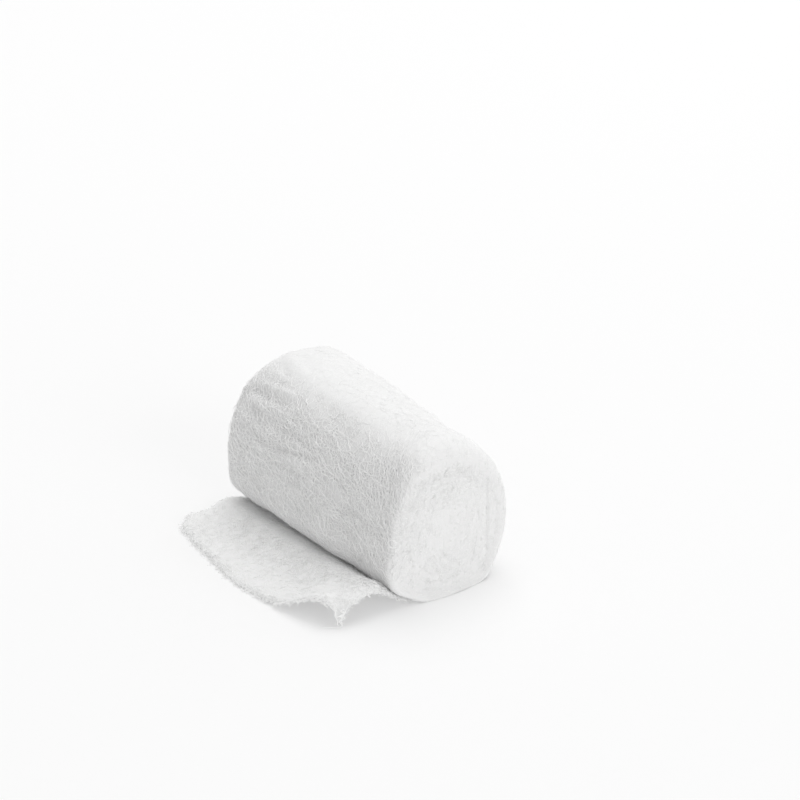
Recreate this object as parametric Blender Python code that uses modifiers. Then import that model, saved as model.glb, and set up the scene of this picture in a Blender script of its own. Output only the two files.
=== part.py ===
"""Gauze bandage roll: a fluffy cotton strip wound up, lying on its flattened side, its loose end laid out.

Two pieces: the wound roll, and the end of the strip that comes out from under it. The roll's axis
runs along Y, its front end faces -Y, +Z is up and the loose end runs out towards -X. The model is
in metres. The sizes and tables below are in millimetres and degrees.
"""
import math
from typing import NamedTuple

import bmesh
import bpy
from mathutils import Vector, noise

MM = 0.001

# The origin is on the floor, midway across the whole thing, seen from the roll's heart line.
ORIGIN_ACROSS = -16.3
ORIGIN_ALONG = -2.7

# Driving sizes of the roll.
HALF_LENGTH = 57.0        # half the strip's width, which is half the roll's length
HEART_HEIGHT = 31.0       # height of the line that the section's reaches start from
BACK_RIM_SHARE = 0.9      # rounding of the rim at the back end, as a share of the front's
FOOT_SWELL = 2.4          # how far the winding's foot leans out at the front end
FOOT_LIP = 4.6            # how much farther the strip's edge stands out under it
LIP_SHARPNESS = 12        # a higher number gives a narrower lip
FOOT_SPREAD = 3           # a higher number keeps both to the middle of the foot
CORE_ACROSS = -1.0        # the start of the winding is pressed to a standing slit: its place
CORE_HEIGHT = 28.0        # and the height of its middle
CORE_HALF = 9.0           # and half its height
TURNS_SHOWN = 4           # rings that stand out on an end, of the thirty or so that are wound
RING_RELIEF = 0.3         # how far these rings stand proud or sink
RINGS_FROM = 0.25         # share of the end's reach by which they have come in full
RELIEF_FADE = 0.1         # share of the end's reach over which the relief fades at the rim
LOOSE_WRAP_DEPTH = 1.1    # depth of the groove inside the loosened outer wrap
LOOSE_WRAP_PLACE = 0.84   # its place, as a share of the end's reach
LOOSE_WRAP_WIDTH = 0.055  # its half width, as a share of the end's reach
LOOSE_WRAP_BEARING = 5.0  # the bearing of its middle
LOOSE_WRAP_SPAN = 0.3     # a higher number makes it reach farther round
LUMP_HEIGHT = 0.9         # how far the winding's slack lumps swell
LUMP_SIZE = 17.0          # and how far they are apart
RIDGE_HEIGHT = 0.6        # soft ridges along the axis, high up on the side of the loose end
RIDGE_BEARING = 148.0     # their middle bearing
RIDGE_SPREAD = 26.0       # the bearings that they cover, to each side
RIDGE_PITCH = 14.0        # bearing from one ridge to the next
RIDGE_TWIST = 0.12        # how many degrees a ridge turns in a millimetre along the axis
RIDGES_FROM = -15.0       # where along the axis the ridges begin
RIDGES_FULL = 30.0        # and where they have come in full

# Driving sizes of the loose end.
SHEET_THICKNESS = 1.8
SHEET_GAP = 0.8           # and how far it stays clear of the roll's foot
SHEET_UNEVEN = 0.35       # how far its surface wanders
SHEET_UNEVEN_SIZE = 9.0   # how far these swells are apart
SHEET_UNEVEN_SLICE = 5.0  # the level at which their noise is read
SHEET_UNEVEN_FROM = 0.25  # share of the way out by which they have come in full
FOOT_BEARINGS = (200, 270)  # where the roll's foot is, on the side of the loose end

# How fine the meshes are.
AROUND = 80
FACE_RINGS = 18
RIM_RINGS = 3
SIDE_RINGS = 16
SHEET_STEPS_OUT = 22
SHEET_STEPS_ALONG = 38


class Bearing(NamedTuple):
    """Reach of the roll's section in one direction, near each end, and the rim's rounding there."""
    bearing: float
    front: float
    back: float
    rim: float


SECTION = (
    Bearing(0, 33.2, 33.5, 5.0),
    Bearing(20, 32.2, 35.5, 5.5),
    Bearing(40, 32.4, 38.5, 7.0),
    Bearing(55, 33.2, 40.0, 8.0),
    Bearing(70, 33.6, 39.3, 9.0),
    Bearing(85, 33.8, 38.4, 9.5),
    Bearing(100, 33.2, 37.6, 9.5),
    Bearing(115, 32.2, 36.4, 7.5),
    Bearing(130, 30.2, 34.8, 4.6),
    Bearing(145, 27.8, 32.2, 3.0),
    Bearing(160, 26.7, 31.0, 2.3),
    Bearing(180, 26.7, 31.2, 2.0),
    Bearing(195, 29.0, 32.6, 2.0),
    Bearing(210, 33.0, 35.8, 2.0),
    Bearing(222, 35.4, 36.0, 2.0),
    Bearing(234, 34.8, 35.2, 1.8),
    Bearing(250, 33.8, 33.8, 1.6),
    Bearing(270, 31.8, 31.8, 1.6),
    Bearing(290, 33.8, 33.8, 1.8),
    Bearing(304, 36.4, 36.4, 2.2),
    Bearing(315, 35.4, 36.0, 3.0),
    Bearing(332, 35.4, 36.0, 4.0),
)


class Fold(NamedTuple):
    """Underside of the loose end across one line from the roll out to the cut edge."""
    start_along: float
    hump_out: float
    hump_rise: float
    middle_rise: float
    edge_out: float
    edge_along: float
    edge_rise: float


LOOSE_END = (
    Fold(-57.0, -38.0, 9.6, 7.8, -53.2, -56.8, 1.4),
    Fold(-52.0, -38.0, 11.0, 10.4, -54.0, -55.4, 7.0),
    Fold(-45.0, -37.5, 10.4, 9.8, -55.9, -49.4, 9.8),
    Fold(-36.0, -36.5, 8.6, 6.6, -60.6, -38.5, 5.6),
    Fold(-24.0, -35.0, 6.4, 2.4, -64.4, -26.0, 1.0),
    Fold(-5.0, -34.0, 4.6, 0.6, -66.5, -5.0, 0.0),
    Fold(15.0, -34.0, 4.0, 0.4, -64.5, 15.0, 0.0),
    Fold(35.0, -34.0, 3.6, 0.3, -61.5, 36.0, 0.0),
    Fold(50.0, -33.0, 3.6, 0.5, -59.0, 50.0, 0.4),
    Fold(58.0, -32.0, 4.2, 1.5, -52.0, 58.5, 1.5),
)


def smooth(share):
    """Eases a share from 0 to 1."""
    share = min(1.0, max(0.0, share))
    return share * share * (3.0 - 2.0 * share)


def mix(first, second, share):
    """Goes from the first value to the second."""
    return first + (second - first) * share


def curve_value(before, first, second, after, share):
    """Reads a smooth curve (Catmull-Rom) between the second and third of four values."""
    slope_in = (second - before) / 2.0
    slope_out = (after - first) / 2.0
    rise = second - first
    return first + share * (slope_in + share * (3.0 * rise - 2.0 * slope_in - slope_out
                                                + share * (slope_in + slope_out - 2.0 * rise)))


def section_row(bearing):
    """Reads the section's table at any bearing, round the closed section."""
    bearing %= 360.0
    count = len(SECTION)
    index = max(i for i in range(count) if SECTION[i].bearing <= bearing)
    ahead = SECTION[(index + 1) % count].bearing + (360.0 if index + 1 == count else 0.0)
    share = (bearing - SECTION[index].bearing) / (ahead - SECTION[index].bearing)
    rows = [SECTION[(index + step) % count] for step in (-1, 0, 1, 2)]
    values = [curve_value(*column, share) for column in zip(*rows)]
    return Bearing(bearing, *values[1:])


def ridges(bearing, along):
    """Soft ridges of the pulled outer wrap, strongest at the back."""
    offset = (bearing - RIDGE_BEARING) / RIDGE_SPREAD
    strength = max(0.0, 1.0 - offset * offset) * smooth((along - RIDGES_FROM) / (RIDGES_FULL - RIDGES_FROM))
    turn = (bearing + RIDGE_TWIST * along) / RIDGE_PITCH
    return RIDGE_HEIGHT * strength * math.sin(2.0 * math.pi * turn)


def lumps(bearing, along):
    """Slack lumps of the winding, the same at every run."""
    angle = math.radians(bearing)
    spot = Vector((HEART_HEIGHT * math.cos(angle), along, HEART_HEIGHT * math.sin(angle))) / LUMP_SIZE
    return LUMP_HEIGHT * (noise.noise(spot) + 0.5 * noise.noise(2.0 * spot))


def reach(bearing, along):
    """How far the roll's side is from its heart line."""
    row = section_row(bearing)
    share = smooth((along + HALF_LENGTH) / (2.0 * HALF_LENGTH))
    return mix(row.front, row.back, share) + lumps(bearing, along) + ridges(bearing, along)


def end_relief(bearing, inward):
    """Rings on an end, and the groove inside its loosened outer wrap on the side away from the loose end."""
    turn = TURNS_SHOWN * inward - bearing / 360.0
    rings = RING_RELIEF * math.cos(2.0 * math.pi * turn) * smooth(inward / RINGS_FROM)
    away = math.cos(math.radians(bearing - LOOSE_WRAP_BEARING))
    groove = math.exp(-((inward - LOOSE_WRAP_PLACE) / LOOSE_WRAP_WIDTH) ** 2)
    return rings - LOOSE_WRAP_DEPTH * groove * smooth(away + LOOSE_WRAP_SPAN)


def end_stand(bearing, share, at_front):
    """How far an end's surface stands out along the axis, from its core to its rim."""
    relief = end_relief(bearing, share) * smooth((1.0 - share) / RELIEF_FADE)
    if not at_front:
        return HALF_LENGTH + relief
    downward = max(0.0, -math.sin(math.radians(bearing))) ** FOOT_SPREAD
    return HALF_LENGTH + relief + downward * (FOOT_SWELL * share + FOOT_LIP * share ** LIP_SHARPNESS)


def ring_places():
    """Lists the rings from the front core to the back core as (part of the skin, share along it)."""
    places = [("front", (ring + 1) / FACE_RINGS) for ring in range(FACE_RINGS)]
    places += [("front rim", (ring + 1) / RIM_RINGS) for ring in range(RIM_RINGS)]
    places += [("side", (ring + 1) / SIDE_RINGS) for ring in range(SIDE_RINGS - 1)]
    places += [("back rim", 1.0 - ring / RIM_RINGS) for ring in range(RIM_RINGS)]
    places += [("back", 1.0 - ring / FACE_RINGS) for ring in range(FACE_RINGS)]
    return places


def skin_point(bearing, part, share):
    """Gives a point of the roll's skin in millimetres, its underside pressed flat on the floor."""
    angle = math.radians(bearing)
    direction = Vector((math.cos(angle), math.sin(angle)))
    heart = Vector((0.0, HEART_HEIGHT))
    front_rim = section_row(bearing).rim
    back_rim = front_rim * BACK_RIM_SHARE
    at_front = part.startswith("front")
    facing, rim = (-1.0, front_rim) if at_front else (1.0, back_rim)
    end = end_stand(bearing, 1.0, at_front)
    if part == "side":
        along = mix(front_rim - end_stand(bearing, 1.0, True), HALF_LENGTH - back_rim, share)
        spot = heart + direction * reach(bearing, along)
    elif part.endswith("rim"):
        turn = 0.5 * math.pi * share
        along = facing * (end - rim * (1.0 - math.cos(turn)))
        spot = heart + direction * (reach(bearing, along) - rim * (1.0 - math.sin(turn)))
    else:
        core = Vector((CORE_ACROSS, CORE_HEIGHT + CORE_HALF * math.sin(angle)))
        edge = heart + direction * (reach(bearing, facing * end) - rim)
        spot = core.lerp(edge, share)
        along = facing * end_stand(bearing, share, at_front)
    return Vector((spot.x, along, max(spot.y, 0.0)))


def place(point):
    """Moves a point from the roll's own lines to the model's origin, and to metres."""
    return (point - Vector((ORIGIN_ACROSS, ORIGIN_ALONG, 0.0))) * MM


def make_material(name, colour, roughness):
    """Makes a plain finish."""
    material = bpy.data.materials.new(name)
    material.use_nodes = True
    shader = material.node_tree.nodes["Principled BSDF"]
    shader.inputs["Base Color"].default_value = (*colour, 1.0)
    shader.inputs["Roughness"].default_value = roughness
    shader.inputs["Metallic"].default_value = 0.0
    return material


def add_object(name, builder, material, collection):
    """Makes a named object of a bmesh, shaded smooth, and frees the bmesh."""
    mesh = bpy.data.meshes.new(name)
    builder.to_mesh(mesh)
    builder.free()
    mesh.shade_smooth()
    mesh.materials.append(material)
    made = bpy.data.objects.new(name, mesh)
    collection.objects.link(made)
    return made


def make_roll(collection):
    """Shapes a ball's rings and poles into the wound roll."""
    places = ring_places()
    builder = bmesh.new()
    bmesh.ops.create_uvsphere(builder, u_segments=AROUND, v_segments=len(places) + 1, radius=1.0)
    for vertex in builder.verts:
        ring = round(math.acos(max(-1.0, min(1.0, vertex.co.z))) / math.pi * (len(places) + 1))
        if ring in (0, len(places) + 1):
            facing = -1.0 if ring == 0 else 1.0
            vertex.co = place(Vector((CORE_ACROSS, facing * HALF_LENGTH, CORE_HEIGHT)))
            continue
        bearing = math.degrees(math.atan2(vertex.co.y, vertex.co.x))
        vertex.co = place(skin_point(bearing, *places[ring - 1]))
    bmesh.ops.recalc_face_normals(builder, faces=builder.faces)
    return add_object("roll", builder, make_material("roll gauze", (0.92, 0.92, 0.91), 0.95), collection)


def fold_row(share):
    """Reads the loose end's table at a share of the way from its front side to its far side."""
    last = len(LOOSE_END) - 1
    row_place = share * last
    index = min(int(row_place), last - 1)
    rows = [LOOSE_END[min(max(index + step, 0), last)] for step in (-1, 0, 1, 2)]
    return Fold(*(curve_value(*column, row_place - index) for column in zip(*rows)))


def foot_out(along):
    """Finds how far the roll's foot reaches out on the loose end's side, up to the sheet's thickness."""
    along = min(max(along, -HALF_LENGTH), HALF_LENGTH)
    farthest = 0.0
    for bearing in range(*FOOT_BEARINGS):
        angle = math.radians(bearing)
        direction = Vector((math.cos(angle), math.sin(angle)))
        spot = Vector((0.0, HEART_HEIGHT)) + direction * reach(bearing, along)
        if spot.y < SHEET_THICKNESS + SHEET_GAP:
            farthest = min(farthest, spot.x)
    return farthest - SHEET_GAP


def sheet_point(out, side):
    """Gives a point of the loose end's underside, from shares out from the roll and across the strip."""
    row = fold_row(side)
    start = foot_out(row.start_along)
    hump = (row.hump_out - start) / (row.edge_out - start)
    middle = (hump + 1.0) / 2.0
    if out < hump:
        rise = row.hump_rise * smooth(out / hump)
    elif out < middle:
        rise = mix(row.hump_rise, row.middle_rise, smooth((out - hump) / (middle - hump)))
    else:
        rise = mix(row.middle_rise, row.edge_rise, smooth((out - middle) / (1.0 - middle)))
    across = mix(start, row.edge_out, out)
    along = mix(row.start_along, row.edge_along, out)
    swell = noise.noise(Vector((across, along, SHEET_UNEVEN_SLICE)) / SHEET_UNEVEN_SIZE)
    wander = SHEET_UNEVEN * swell * smooth(out / SHEET_UNEVEN_FROM)
    return Vector((across, along, max(rise + wander, 0.0)))


def make_loose_end(collection):
    """Lays out a grid as the loose end's underside and thickens it upwards."""
    builder = bmesh.new()
    bmesh.ops.create_grid(builder, x_segments=SHEET_STEPS_OUT, y_segments=SHEET_STEPS_ALONG, size=1.0)
    for vertex in builder.verts:
        vertex.co = place(sheet_point((1.0 - vertex.co.x) / 2.0, (vertex.co.y + 1.0) / 2.0))
    bmesh.ops.recalc_face_normals(builder, faces=builder.faces)
    if sum(face.normal.z for face in builder.faces) < 0.0:
        bmesh.ops.reverse_faces(builder, faces=builder.faces)
    finish = make_material("loose end gauze", (0.93, 0.93, 0.92), 0.95)
    made = add_object("loose_end", builder, finish, collection)
    thickness = made.modifiers.new("thickness", "SOLIDIFY")
    thickness.thickness = SHEET_THICKNESS * MM
    thickness.offset = 1.0
    return made


def main():
    """Clears the scene and builds the bandage in a collection of its own."""
    for old in list(bpy.data.objects):
        bpy.data.objects.remove(old, do_unlink=True)
    collection = bpy.data.collections.new("gauze_bandage_roll")
    bpy.context.scene.collection.children.link(collection)
    make_roll(collection)
    make_loose_end(collection)


main()
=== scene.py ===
"""Dresses the gauze bandage roll: crinkled cotton cloth, its yarns, the wound ends, fray and fuzz.

The frame's two solids give the places. The forms below repeat the solids' own sizes, in millimetres
and degrees on the roll's own lines, and every finished mesh is moved to the frame's origin in metres.
"""
import logging
import math
from dataclasses import dataclass, field
from enum import Enum
from typing import Callable, Union

import bmesh
import bpy
import numpy as np
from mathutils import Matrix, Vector, noise


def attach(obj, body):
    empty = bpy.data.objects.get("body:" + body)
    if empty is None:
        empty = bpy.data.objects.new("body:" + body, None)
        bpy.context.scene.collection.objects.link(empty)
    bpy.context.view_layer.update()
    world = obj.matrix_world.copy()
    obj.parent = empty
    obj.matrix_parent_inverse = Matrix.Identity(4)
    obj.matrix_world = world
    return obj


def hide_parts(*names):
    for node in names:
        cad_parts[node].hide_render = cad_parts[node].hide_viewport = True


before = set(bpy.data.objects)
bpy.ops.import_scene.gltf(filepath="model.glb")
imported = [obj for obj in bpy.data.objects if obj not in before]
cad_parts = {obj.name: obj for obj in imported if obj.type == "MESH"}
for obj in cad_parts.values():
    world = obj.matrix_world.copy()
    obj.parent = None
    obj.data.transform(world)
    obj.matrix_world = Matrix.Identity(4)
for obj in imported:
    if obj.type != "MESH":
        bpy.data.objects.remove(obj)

LOG = logging.getLogger("gauze_bandage")
MM = 0.001
ORIGIN = np.array([-16.3, -2.7, 0.0])
QUARTER_TURN = math.pi / 2.0
FULL_TURN = 2.0 * math.pi
WHITE = (1.0, 1.0, 1.0, 1.0)
BLACK = (0.0, 0.0, 0.0, 1.0)
YARN_THICKNESS = 0.3
THINNEST_SHARE = 0.4
WAVE_STRETCH = (0.65, 1.5)
CRIMP_STRENGTH = (0.5, 1.3)
CRIMP_STRETCH = (0.75, 1.3)
FINE_GRAINS = 0.7
FINE_GRAINS_SHIFT = 50.0
PLACES_PER_THREAD = 5
FEWEST_POINTS = 4
FEWEST_IN_CURL = 3
WELD_DISTANCE = 1e-7

Array = np.ndarray
Random = np.random.Generator
Number = Union[float, Array]
Socket = bpy.types.NodeSocket
Range = tuple[float, float]
Rows = tuple[tuple[float, ...], ...]
Waves = tuple[tuple[float, float, int], ...]


def add_object(name: str, data: bpy.types.ID) -> bpy.types.Object:
    """Adds an object to the scene."""
    made = bpy.data.objects.new(name, data)
    bpy.context.scene.collection.objects.link(made)
    return made


class End(Enum):
    """The two ends of the roll, as the way that each one faces along the axis."""
    FRONT = -1.0
    BACK = 1.0


def smooth(share: Number) -> Number:
    """Eases a share from 0 to 1."""
    share = np.clip(share, 0.0, 1.0)
    return share * share * (3.0 - 2.0 * share)


def mix(first: Number, second: Number, share: Number) -> Number:
    """Goes from the first value to the second."""
    return first + (second - first) * share


def ramp(value: Number, first: float, last: float) -> Number:
    """Eases from 0 at the first value to 1 at the last, which may be the lower of the two."""
    return smooth((value - first) / (last - first))


def from_foot(bearing: Array) -> Array:
    """Gives bearings as degrees from -90 to 270, so that they break at the roll's foot."""
    return np.mod(bearing + 90.0, 360.0) - 90.0


def read_rows(rows: Array, places: Array, closed: bool) -> Array:
    """Reads a smooth curve (Catmull-Rom) through a table's rows.

    Args:
        rows: the table, a row for each section.
        places: where to read it, as a row's number and a share of the way to the next.
        closed: whether the first row follows the last.

    Returns:
        One row of values for each place.
    """
    count = len(rows)
    index = np.floor(places).astype(int)
    if not closed:
        index = np.clip(index, 0, count - 2)
    share = (places - index)[:, None]
    near = [rows[(index + step) % count] if closed else rows[np.clip(index + step, 0, count - 1)]
            for step in (-1, 0, 1, 2)]
    slope_in, slope_out, rise = (near[2] - near[0]) / 2.0, (near[3] - near[1]) / 2.0, near[2] - near[1]
    bend = 3.0 * rise - 2.0 * slope_in - slope_out
    return near[1] + share * (slope_in + share * (bend + share * (slope_in + slope_out - 2.0 * rise)))


def lumps_at(points: Array, size: float) -> Array:
    """Reads soft noise, about -1 to 1, at points in millimetres, with lumps of the given size."""
    return np.array([noise.noise(Vector(point)) for point in points / size])


def lumps_over(first: Array, second: Number, level: float, size: float) -> Array:
    """Reads the same noise over a surface, at one of its levels."""
    return lumps_at(np.stack(np.broadcast_arrays(first, second, level), 1), size)


def crinkle_at(points: Array, coarse: float, fine: float) -> Array:
    """Reads the crinkle of fluffed gauze: soft grains of two sizes."""
    return lumps_at(points, coarse) + FINE_GRAINS * lumps_at(points + FINE_GRAINS_SHIFT, fine)


def waves(places: Array, length: float, rng: Random, parts: int = 3) -> Array:
    """Adds a few sine waves of random phase about one wavelength.

    Args:
        places: how far along each point is.
        length: the mean wavelength, in the same unit.
        rng: the source of random numbers.
        parts: how many waves are added.

    Returns:
        Values from about -1 to 1.
    """
    total = np.zeros_like(places)
    for _ in range(parts):
        stretch = rng.uniform(*WAVE_STRETCH)
        total += np.sin(FULL_TURN * (places / (length * stretch) + rng.random()))
    return total / parts ** 0.5


def wander(places: Array, rows: Waves, rng: Random) -> Array:
    """Adds up waves that are given by their height, their length and their number of parts."""
    return sum(height * waves(places, length, rng, parts) for height, length, parts in rows)


def arch(count: int, first: float = 0.0, last: float = math.pi) -> Array:
    """Gives the heights of an arch over a thread's points."""
    return np.sin(np.linspace(first, last, count))


def likeliest(rng: Random, likely: Array, count: int) -> Array:
    """Draws some of many places, more often where they are likely, and gives their numbers."""
    return np.argsort(rng.random(len(likely)) / likely)[:count]


def yarn_thickness(rng: Random, shares: Range, coarse: Number = 1.0) -> Number:
    """Draws a yarn's thickness in millimetres, less where the fluff is not coarse."""
    return YARN_THICKNESS * rng.uniform(*shares) * mix(THINNEST_SHARE, 1.0, coarse)


def crease_height(rows: Rows, across: Array, along: Array) -> Array:
    """Adds up soft ridges and troughs, each along a straight line with rounded ends.

    Args:
        rows: for each of them its start and end across and along, its half width and its height.
        across: places over the cloth, in millimetres.
        along: the same places, the other way.

    Returns:
        How far the cloth stands proud there.
    """
    total = np.zeros_like(across)
    for start_across, start_along, end_across, end_along, half_width, height in rows:
        line = np.array([end_across - start_across, end_along - start_along])
        away = np.stack([across - start_across, along - start_along], 1)
        share = np.clip(away @ line / (line @ line), 0.0, 1.0)
        miss = np.linalg.norm(away - share[:, None] * line, axis=1)
        total += height * np.exp(-((miss / half_width) ** 2))
    return total


@dataclass(frozen=True)
class RollForm:
    """The wound roll's form: a soft section that changes from end to end, rims and rings."""
    half_length: float = 57.0
    heart_height: float = 31.0
    back_rim_share: float = 0.9
    foot_swell: float = 2.4
    foot_lip: float = 3.4
    lip_sharpness: int = 12
    foot_spread: int = 3
    core_across: float = -1.0
    core_height: float = 28.0
    core_half: float = 9.0
    turns_shown: float = 6.0
    ring_relief: float = 0.09
    back_ring_relief: float = 0.28
    rings_from: float = 0.25
    back_mark_share: float = 0.2
    relief_fade: float = 0.1
    end_turnover: float = 60.0
    lump_height: float = 0.9
    lump_size: float = 17.0
    ridge_height: float = 0.4
    ridge_bearing: float = 148.0
    ridge_spread: float = 26.0
    ridge_pitch: float = 14.0
    ridge_twist: float = 0.12
    ridge_start: Range = (-15.0, 30.0)
    crease_end: Range = (43.0, 55.0)
    fluffy_from: Range = (98.0, 130.0)
    fluffy_to: Range = (202.0, 220.0)
    away_to: Range = (60.0, 30.0)
    fluff_shares: tuple[float, float, float] = (0.2, 0.8, 0.3)
    slants: Range = (0.65, 1.15)
    slant_change: Range = (-52.0, -22.0)
    swirl: float = 0.85
    swirl_size: float = 15.0
    drift_size: float = 8.0
    drift_level: float = 40.0
    drift_share: float = 0.5
    drift_swing: float = 1.3
    drift_least: float = 0.1
    drift_rows: Rows = (
        # bearing, along, radius, how much more fluff
        (137, 16, 7, 0.9),
        (134, 30, 6, 0.5),
        (124, 40, 5, 0.5),
        (143, 2, 5, 0.5),
        (105, -24, 7, 0.7),
        (102, -44, 8, 0.6),
        (128, -54, 6, 0.6),
        (160, -52, 7, 0.5),
        (152, -30, 6, 0.5),
        (185, -50, 7, 0.4),
        (200, 30, 8, -0.4),
        (92, 25, 14, -0.6),
    )
    underside: float = 1.1
    front_underside: float = 0.2
    strip_front: float = -60.2
    end_mark_rows: Rows = (
        # start across, start up, end across, end up, half width, height
        (21.2, 46.5, 22, 30.6, 0.9, -0.9),
        (22, 30.6, 21.3, 13.1, 0.9, -0.9),
        (21.3, 13.1, 18.6, 5, 0.9, -0.4),
        (26.2, 43, 26.4, 13, 2.4, -0.25),
        (-2.8, 18.4, 1.3, 14.3, 1.5, -0.8),
        (-10, 36.8, -8.7, 29.7, 0.7, -0.5),
        (-7.6, 32.1, -6.6, 27.3, 0.7, -0.5),
        (-18.1, 22.7, -16.3, 15.4, 0.8, -0.5),
        (10.5, 20.2, 7.4, 17.9, 0.6, -0.5),
        (14.7, 46.1, 15.8, 43.1, 0.7, -0.4),
        (-15.9, 45.3, -10.5, 51.2, 1.4, -0.2),
        (-10.5, 51.2, -0.6, 52.6, 1.4, -0.2),
        (-0.6, 52.6, 12.1, 50.4, 1.4, -0.2),
        (-14.3, 6.5, -10.3, 4, 1.8, -0.35),
        (12.7, 9.3, 15, 12, 1.8, -0.35),
        (4, 38, 7, 30, 2.2, 0.3),
        (-14, 34, -13, 26, 2, 0.25),
    )
    crease_rows: Rows = (
        # start bearing, start along, end bearing, end along, half width, height
        (124, 57, 121, 24, 1.5, 0.9),
        (136, 48, 134, 21, 1.4, 0.9),
        (130, 55, 128, 26, 1.6, -0.9),
        (141, 52, 141, 24, 1.6, -0.9),
        (116, 53, 112, 30, 1.9, 0.6),
        (94, 55, 104, 31, 2.6, 0.7),
        (100, 56, 111, 36, 2, -0.6),
        (143, 20, 146, 0, 2, -0.9),
        (160, 22, 153, 0, 1.6, -0.8),
        (174, 24, 169, 0, 1.8, -0.8),
        (150, 32, 149, 2, 1.8, 0.6),
        (167, 36, 161, 6, 1.8, 0.6),
        (182, 32, 178, -6, 2.4, -0.5),
        (205, 12, 207, -30, 2.6, 0.5),
        (192, -8, 196, -26, 2.2, -0.7),
        (153, -14, 163, -24, 1.8, -0.6),
        (196, -30, 200, -42, 2, -0.6),
        (172, -16, 180, -40, 2.2, -0.4),
        (112, 14, 124, -16, 2.8, -0.5),
        (84, 26, 72, -22, 3.6, -0.6),
        (45, -4, 52, -42, 3, -0.6),
        (30, 42, 20, 2, 2.4, -0.8),
        (36, 50, 27, 8, 2, 0.6),
        (10, 12, 2, -36, 2.2, -0.7),
        (-20, 34, -28, -12, 2.2, -0.6),
    )
    section_rows: Rows = (
        # bearing, front reach, back reach, rim
        (0, 33.2, 33.5, 5),
        (20, 32.2, 35.5, 5.5),
        (40, 32.4, 38.5, 7),
        (55, 33.2, 40, 8),
        (70, 33.6, 39.3, 9),
        (85, 33.8, 38.4, 9.5),
        (100, 33.2, 37.6, 9.5),
        (115, 32.2, 36.4, 7.5),
        (130, 30.2, 34.8, 4.6),
        (145, 27.8, 32.2, 3),
        (160, 26.7, 31, 2.3),
        (180, 26.7, 31.2, 2),
        (195, 29, 32.6, 2),
        (210, 33, 35.8, 2),
        (222, 35.4, 36, 2),
        (234, 34.8, 35.2, 1.8),
        (250, 33.8, 33.8, 1.6),
        (270, 31.8, 31.8, 1.6),
        (290, 33.8, 33.8, 1.8),
        (304, 36.4, 36.4, 2.2),
        (315, 35.4, 36, 3),
        (332, 35.4, 36, 4),
    )

    def section(self, bearing: Array) -> Array:
        """Reads front reach, back reach and rim at each bearing."""
        rows = np.array(self.section_rows)
        bearing = np.mod(bearing, 360.0)
        starts = np.append(rows[:, 0], 360.0)
        index = np.clip(np.searchsorted(starts, bearing, side="right") - 1, 0, len(rows) - 1)
        share = (bearing - starts[index]) / (starts[index + 1] - starts[index])
        return read_rows(rows[:, 1:], index + share, closed=True)

    def reach(self, bearing: Array, along: Array) -> Array:
        """Finds how far the side is from the heart line, with its slack lumps, ridges and creases."""
        section = self.section(bearing)
        share = ramp(along, -self.half_length, self.half_length)
        angle = np.radians(bearing)
        spot = np.stack([self.heart_height * np.cos(angle), along, self.heart_height * np.sin(angle)], 1)
        slack = lumps_at(spot, self.lump_size) + 0.5 * lumps_at(spot, self.lump_size / 2.0)
        turned = np.mod(bearing, 360.0)
        strength = np.clip(1.0 - ((turned - self.ridge_bearing) / self.ridge_spread) ** 2, 0.0, 1.0)
        strength = strength * ramp(along, *self.ridge_start)
        ridge = strength * np.sin(FULL_TURN * (turned + self.ridge_twist * along) / self.ridge_pitch)
        arc = math.radians(1.0) * self.heart_height
        rows = tuple((row[0] * arc, row[1], row[2] * arc, *row[3:]) for row in self.crease_rows)
        ridge = self.ridge_height * ridge + crease_height(rows, from_foot(bearing) * arc, along)
        ridge = ridge * (1.0 - ramp(along, *self.crease_end))
        return mix(section[:, 0], section[:, 1], share) + self.lump_height * slack + ridge

    def end_relief(self, bearing: Array, share: Array, spot: Array,
                   facing: Array) -> Array:
        """Finds an end's faint rings, and its marks: the loosened outer wrap, pits and soft swells.

        Args:
            bearing: degrees round the section.
            share: the way from the core to the rim.
            spot: the places across and up.
            facing: which end.

        Returns:
            How far the end's surface stands proud.
        """
        front = facing < 0.0
        turn = self.turns_shown * share - bearing / 360.0
        rings = np.where(front, self.ring_relief, self.back_ring_relief) * np.cos(FULL_TURN * turn)
        height = np.where(front, spot[:, 1], self.end_turnover - spot[:, 1])
        marks = crease_height(self.end_mark_rows, spot[:, 0], height)
        return rings * smooth(share / self.rings_from) + np.where(front, 1.0, self.back_mark_share) * marks

    def core(self, bearing: Array) -> Array:
        """Finds the standing slit that the winding starts from."""
        rise = self.core_height + self.core_half * np.sin(np.radians(bearing))
        return np.stack([np.full_like(rise, self.core_across), rise], 1)

    def foot_stand(self, bearing: Array, share: Array) -> Array:
        """Finds how far the front end's foot stands out, at a share of the way to the rim."""
        downward = np.clip(-np.sin(np.radians(bearing)), 0.0, 1.0) ** self.foot_spread
        return downward * (self.foot_swell * share + self.foot_lip * share ** self.lip_sharpness)

    def rim_parts(self, bearing: Array, facing: Array) -> tuple[Array, ...]:
        """Finds the rim's rounding, the straight part's length and the end's edge at each bearing."""
        direction = np.stack([np.cos(np.radians(bearing)), np.sin(np.radians(bearing))], 1)
        rim = self.section(bearing)[:, 2] * np.where(facing < 0.0, 1.0, self.back_rim_share)
        foot = self.foot_stand(bearing, np.ones_like(bearing))
        end = self.half_length + np.where(facing < 0.0, foot, 0.0)
        heart = np.array([0.0, self.heart_height])
        edge = heart + direction * (self.reach(bearing, facing * end) - rim)[:, None]
        return direction, rim, end, end - rim, edge

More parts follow.
